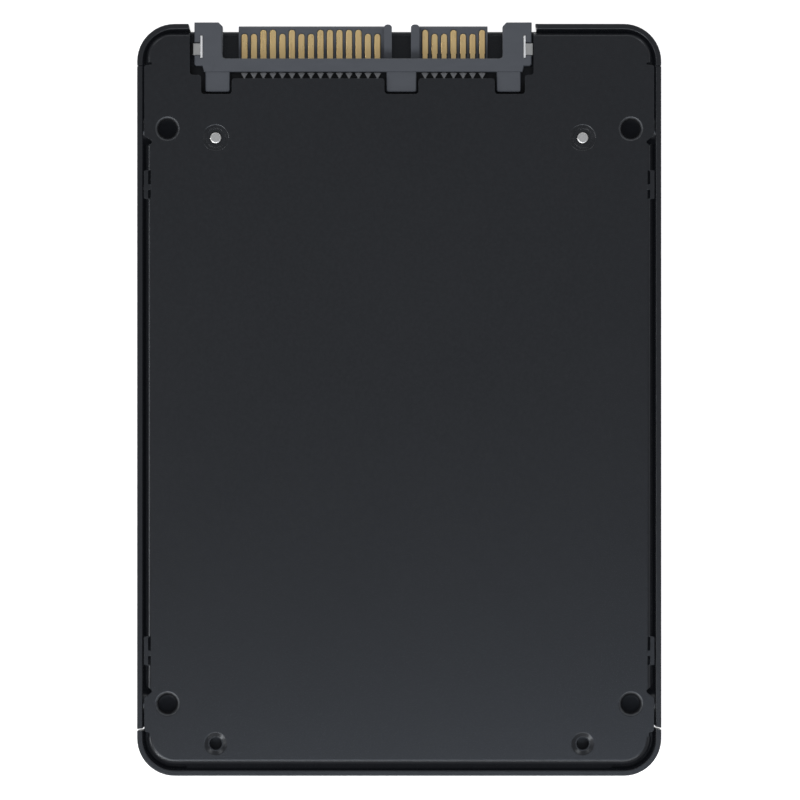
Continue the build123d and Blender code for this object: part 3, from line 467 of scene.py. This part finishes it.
COVER_THREAD_FROM = 1.6 * MM
COVER_THREAD_TO = 0.5 * MM
SIDE_THREAD_FROM = 1.75 * MM
SIDE_THREAD_TO = 0.4 * MM

BOSS_DEPTH = 1.78 * MM
# share of the radius and height in mm of each ring of the dished disc
BOSS_RINGS = ((0.0, -0.03), (0.6, -0.025), (0.9, 0.0), (1.0, 0.03))


def add_piece(name, verts, faces, material):
    """A smooth piece that rides on the drive."""
    mesh = bpy.data.meshes.new(name)
    mesh.from_pydata(verts, [], faces)
    mesh.polygons.foreach_set("use_smooth", [True] * len(faces))
    mesh.materials.append(material)
    piece = bpy.data.objects.new(name, mesh)
    scene.collection.objects.link(piece)
    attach(piece, "root")


def thread_turns(name, centre, axis, start, end):
    """A helical ridge on the wall of a mounting hole, from start to end along its axis."""
    axis = Vector(axis)
    side = axis.orthogonal().normalized()
    other = axis.cross(side)
    count = int((end - start) / THREAD_PITCH * CIRCLE_STEPS)
    wall = bore + THREAD_WALL_SINK
    verts = []
    faces = []
    for step in range(count + 1):
        turns_in = step / CIRCLE_STEPS
        turns_left = (count - step) / CIRCLE_STEPS
        angle = 2 * math.pi * turns_in
        fade = min(1.0, turns_in / THREAD_FADE_TURNS, turns_left / THREAD_FADE_TURNS)
        out = side * math.cos(angle) + other * math.sin(angle)
        crest = bore - THREAD_CREST * fade
        profile = (
            (wall, -THREAD_HALF_ROOT),
            (crest, -THREAD_HALF_CREST),
            (crest, THREAD_HALF_CREST),
            (wall, THREAD_HALF_ROOT),
        )
        for radius, shift in profile:
            verts.append(tuple(centre + out * radius + axis * (start + THREAD_PITCH * (turns_in + shift))))
        if step:
            high = step * len(profile)
            low = high - len(profile)
            for corner in range(len(profile) - 1):
                faces.append((low + corner, low + corner + 1, high + corner + 1, high + corner))
    last = count * len(profile)
    faces.append((0, 3, 2, 1))
    faces.append((last, last + 1, last + 2, last + 3))
    add_piece(name, verts, faces, MATERIALS["thread_metal"])


def boss_floor(name, x, y, z):
    """A shallow dished disc that closes the inner end of a threaded boss; its near-black colour is painted
    shade.
    """
    verts = []
    faces = []
    for share, dish in BOSS_RINGS:
        for step in range(CIRCLE_STEPS):
            angle = 2 * math.pi * step / CIRCLE_STEPS
            radius = share * bore
            verts.append((x + radius * math.cos(angle), y + radius * math.sin(angle), z + dish * MM))
    for ring in range(len(BOSS_RINGS) - 1):
        low = ring * CIRCLE_STEPS
        high = low + CIRCLE_STEPS
        for step in range(CIRCLE_STEPS):
            after = (step + 1) % CIRCLE_STEPS
            faces.append((low + step, high + step, high + after, low + after))
    add_piece(name, verts, faces, MATERIALS["boss_floor"])


holes = [
    (direction, y, f"{x_name}_{y_name}")
    for direction, x_name in ((-1, "left"), (1, "right"))
    for y, y_name in ((middle_y + half_y, "plug_end"), (middle_y - half_y, "far_end"))
]
cover_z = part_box("bottom_cover")[1].z
for direction, y, place_name in holes:
    x = direction * half_x
    thread_turns(
        f"cover_thread_{place_name}", Vector((x, y, cover_z)), (0, 0, 1),
        -COVER_THREAD_FROM, -COVER_THREAD_TO,
    )
    boss_floor(f"boss_floor_{place_name}", x, y, cover_z - BOSS_DEPTH)

side_z = mounts["left_side_screw_holes"]["pos_m"][2]
side_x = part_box("top_shell")[1].x
for direction, y, place_name in holes:
    thread_turns(
        f"side_thread_{place_name}", Vector((direction * side_x, y, side_z)), (direction, 0, 0),
        -SIDE_THREAD_FROM, -SIDE_THREAD_TO,
    )

# ------------------------------------------------------------------ scene
# the softboxes are named by where they stand when seen from above, with the plug end up
add_camera()
add_world(strength=0.34, colour=(0.98, 0.99, 1.02))
add_softbox("key_lower_left", 240.0, 30.0, distance=0.55, width=0.16, height=0.12, radiance=9.0)
add_softbox("lower_right", 285.0, 34.0, distance=0.55, width=0.22, height=0.06, radiance=9.0)
# this one is close to the far end, so that the cover is lighter there than at the plug
add_softbox(
    "near_far_end", 276.0, 18.0,
    distance=0.34, width=0.2, height=0.05, radiance=3.6, colour=(0.88, 0.97, 1.12),
)
add_softbox("upper_right", 52.0, 42.0, distance=0.9, width=0.22, height=0.18, radiance=5.0)
add_softbox("upper_left", 128.0, 44.0, distance=0.9, width=0.22, height=0.18, radiance=4.0)
add_softbox("low_left", 190.0, 54.0, distance=0.8, width=0.3, height=0.12, radiance=9.0)
add_softbox("low_corner", 228.0, 46.0, distance=0.8, width=0.16, height=0.16, radiance=12.0)
add_softbox("low_right", 0.0, 66.0, distance=0.8, width=0.5, height=0.15, radiance=0.8)
add_softbox("low_plug_end", 90.0, 62.0, distance=0.8, width=0.5, height=0.15, radiance=1.6)
add_floor()
